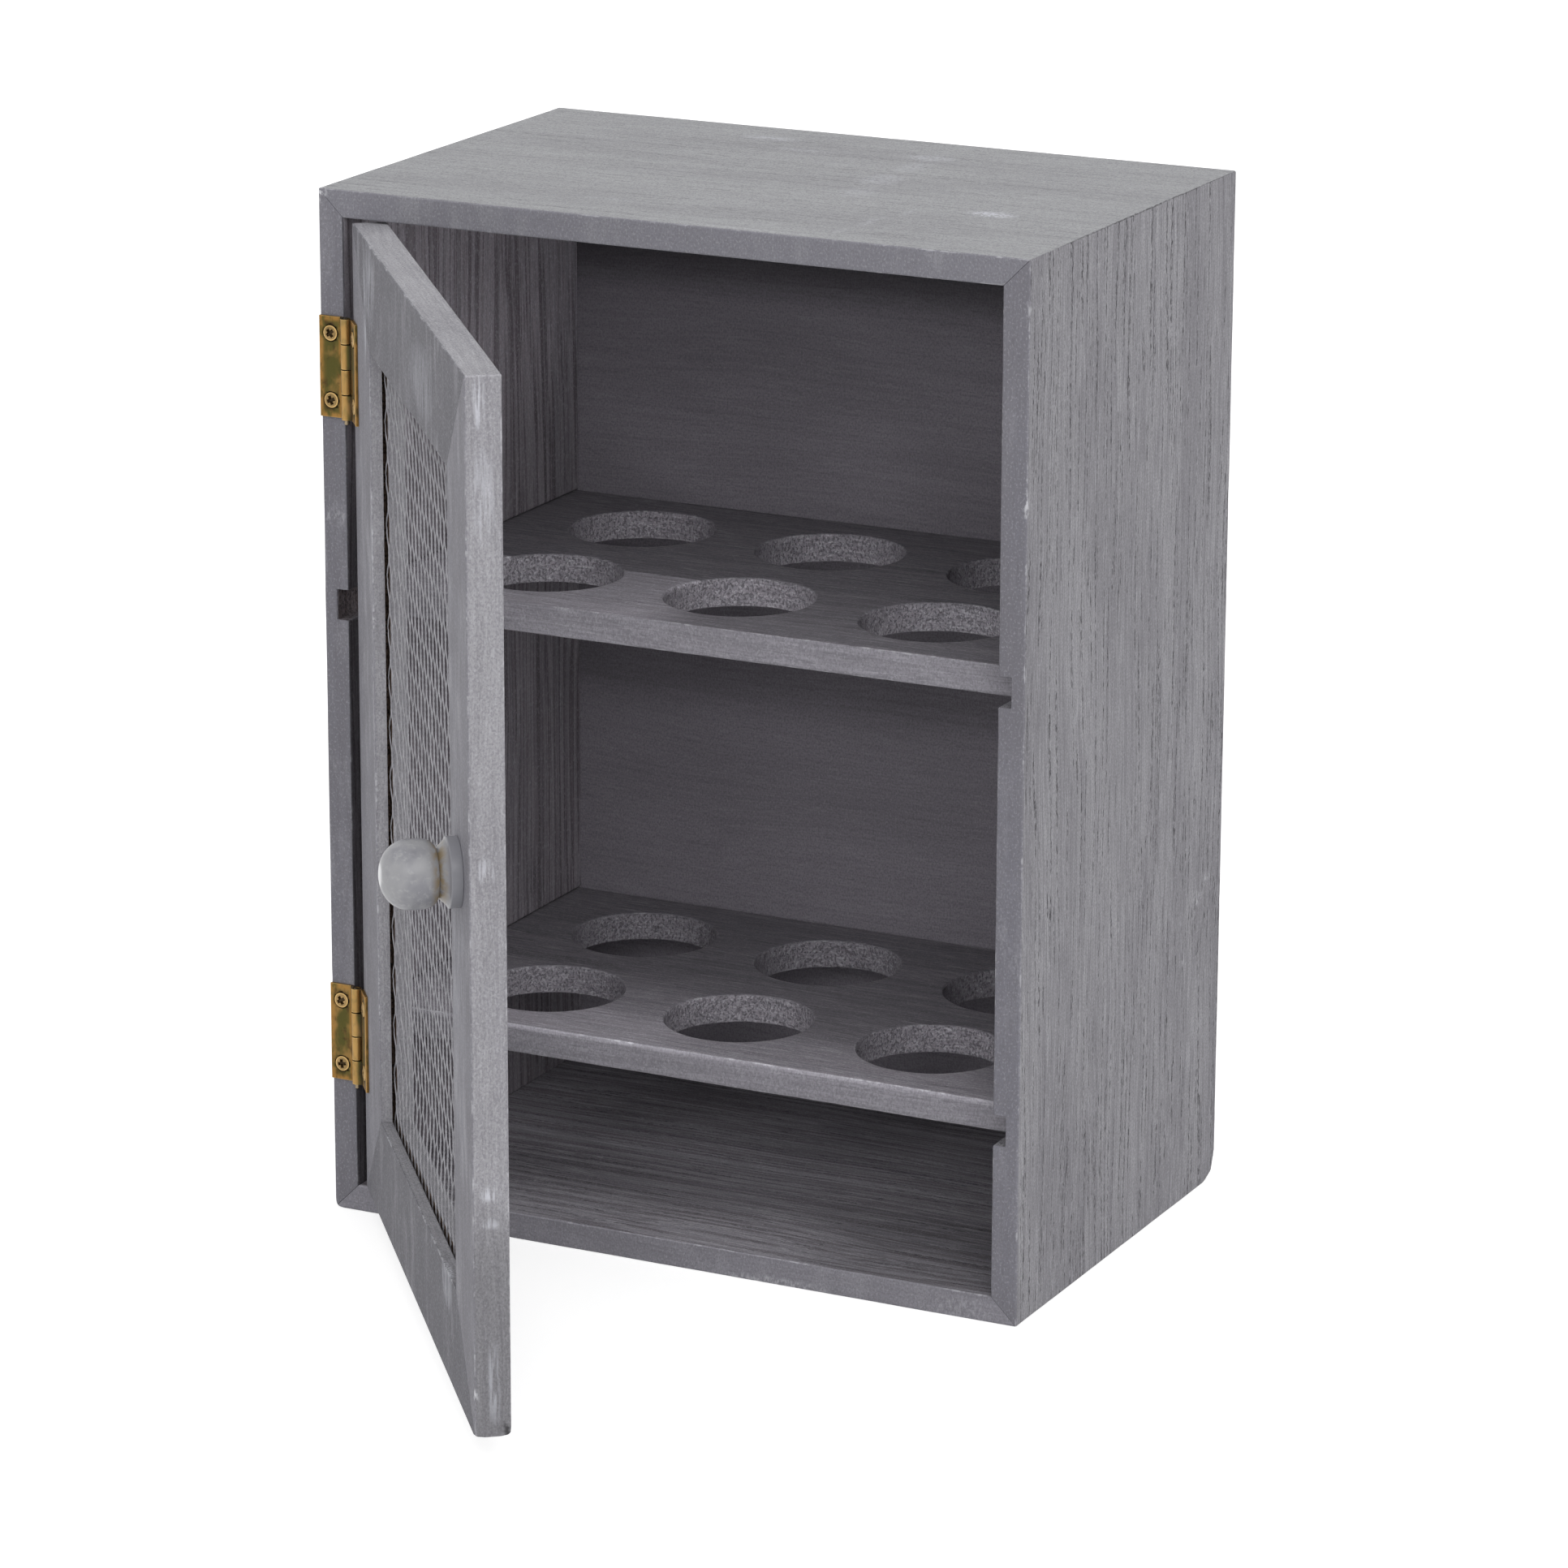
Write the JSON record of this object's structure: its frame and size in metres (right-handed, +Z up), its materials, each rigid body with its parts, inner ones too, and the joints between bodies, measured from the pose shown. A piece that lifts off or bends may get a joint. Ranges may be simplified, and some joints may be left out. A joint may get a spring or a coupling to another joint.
{
  "type": "egg cupboard",
  "caption": "Small free-standing wooden cupboard with pierced shelves behind a wire-netting door on two butt hinges, with a turned knob.",
  "frame": {"origin": "centre of the case's bottom face, on the surface that it stands on", "axes": "+Z up, -Y towards the open front, +X to the right as seen from the front; the door stands ajar at rest"},
  "size_m": [0.188, 0.2609, 0.26],
  "materials": {
    "painted_wood": "matt grey wash over an open-grained light wood, edges worn pale",
    "inside_wood": "thin dark grey wash, dry and rough",
    "aged_brass": "brass plate gone golden brown with green patina",
    "steel": "plain bright wire and screw steel",
    "painted_wire": "twisted wire under the same matt grey paint"
  },
  "bodies": {
    "case": {"left_side": "painted_wood", "right_side": "painted_wood", "top_board": "painted_wood", "bottom_board": "painted_wood", "back_panel": "inside_wood", "upper_shelf": "inside_wood", "lower_shelf": "inside_wood", "upper_case_leaf": "aged_brass", "lower_case_leaf": "aged_brass", "upper_hinge_pin": "steel", "lower_hinge_pin": "steel", "case_hinge_screws": "aged_brass"},
    "door": {"door_hinge_stile": "painted_wood", "door_free_stile": "painted_wood", "door_top_rail": "painted_wood", "door_bottom_rail": "painted_wood", "wire_netting": "painted_wire", "hinge_stile_bead": "painted_wood", "free_stile_bead": "painted_wood", "top_rail_bead": "painted_wood", "bottom_rail_bead": "painted_wood", "upper_door_leaf": "aged_brass", "lower_door_leaf": "aged_brass", "door_hinge_screws": "aged_brass", "knob": "painted_wood", "knob_screw": "steel"}
  },
  "joints": [
    {"name": "door_hinge", "type": "hinge", "parent": "case", "child": "door", "pos_m": [-0.0859, -0.06275, 0.13], "axis": [0, 0, -1], "range_deg": [-51.9, 128.1]}
  ]
}
